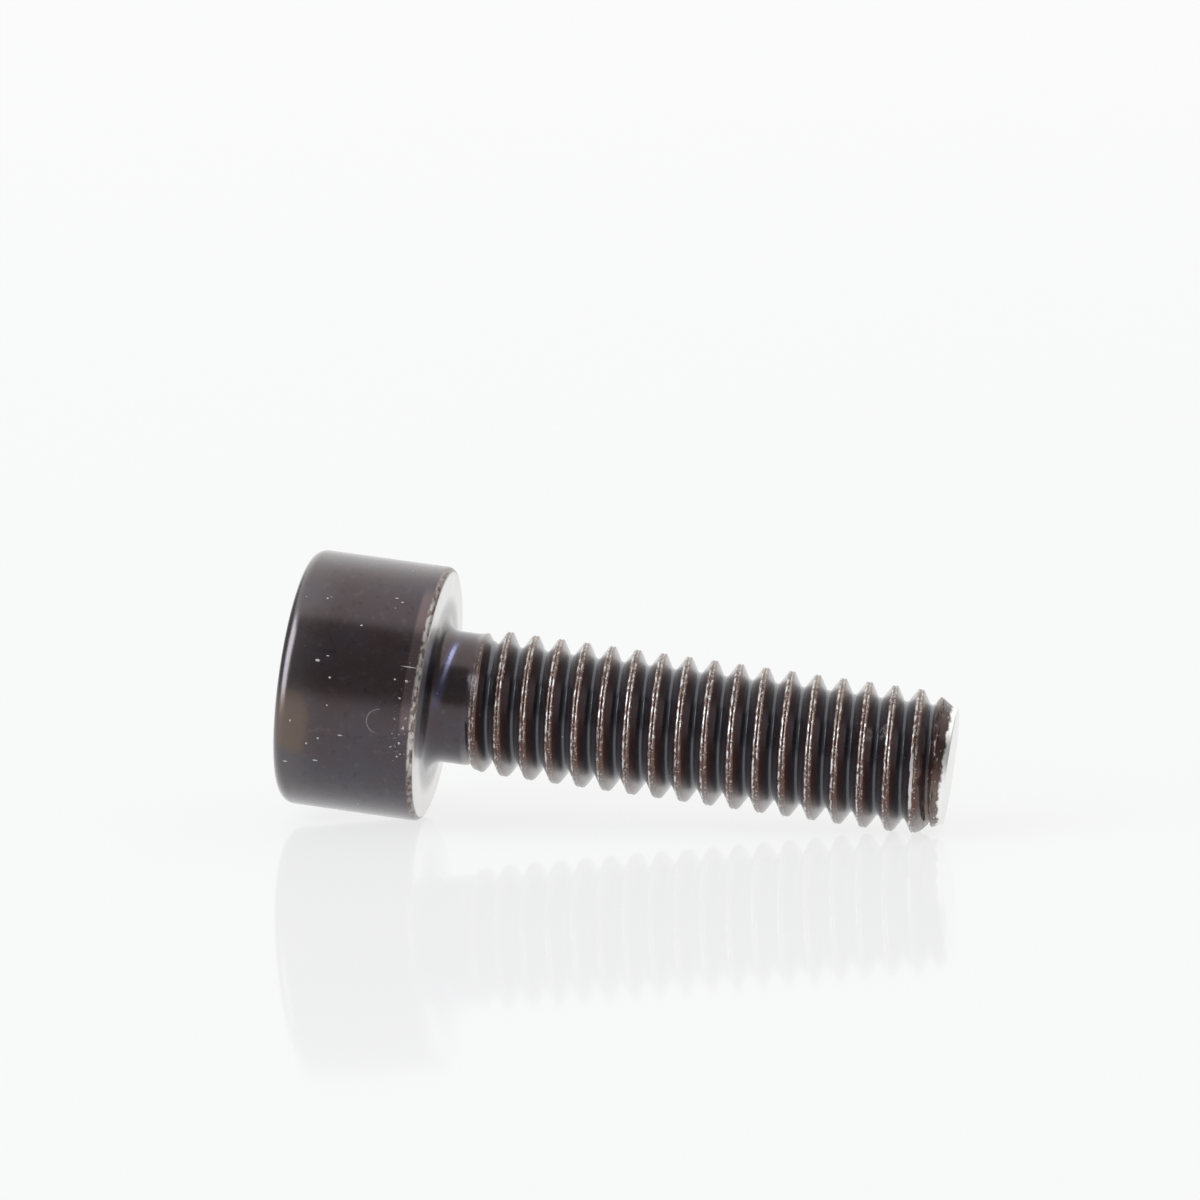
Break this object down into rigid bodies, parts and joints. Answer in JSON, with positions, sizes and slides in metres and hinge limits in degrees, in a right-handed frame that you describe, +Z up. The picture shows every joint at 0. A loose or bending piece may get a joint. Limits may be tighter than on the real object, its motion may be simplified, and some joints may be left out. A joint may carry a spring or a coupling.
{
  "type": "socket head machine screw",
  "caption": "Black steel machine screw with a tall round head, a hexagon key socket and a right-hand thread running nearly to the head; it clamps parts together.",
  "frame": {"origin": "on the surface the screw lies on, under the middle of its overall box", "axes": "+X from head to tip along the surface, +Z up; the screw's own axis lies in the XZ plane and dips towards the tip by 6.6 degrees, since the head is wider than the thread"},
  "size_m": [0.0182, 0.007, 0.0073],
  "materials": {
    "black_steel": "black oxide over steel, lightly oiled, worn bright on edges and thread crests"
  },
  "bodies": {
    "root": {"machine_screw": "black_steel"}
  },
  "joints": []
}
